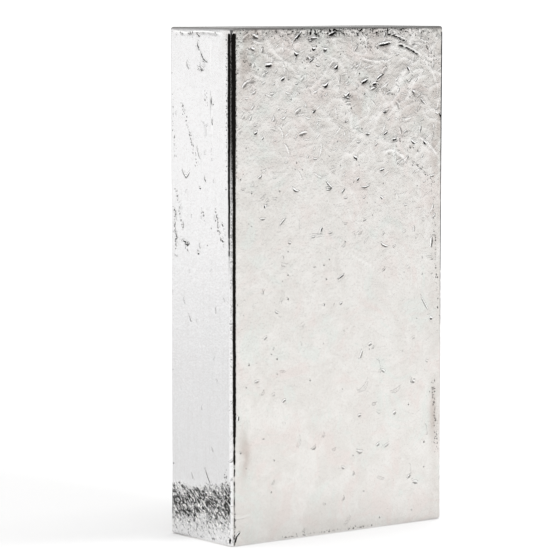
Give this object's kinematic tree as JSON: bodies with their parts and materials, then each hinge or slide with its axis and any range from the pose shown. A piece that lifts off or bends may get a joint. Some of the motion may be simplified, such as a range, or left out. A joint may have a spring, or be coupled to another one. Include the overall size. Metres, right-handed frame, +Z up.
{
  "type": "metal ingot",
  "caption": "Thick rectangular cast silver ingot with rounded edges and rough cast skin, standing on one end as raw stock for melting or storage.",
  "frame": {"origin": "centre of the lower end face, which the ingot stands on", "axes": "+Z up along the length, X across the width of the broad faces, Y through the thickness; the front broad face looks along -Y"},
  "size_m": [0.0746, 0.0286, 0.14],
  "materials": {
    "cast_silver": "satin"
  },
  "bodies": {
    "root": {"ingot": "cast_silver"}
  },
  "joints": []
}
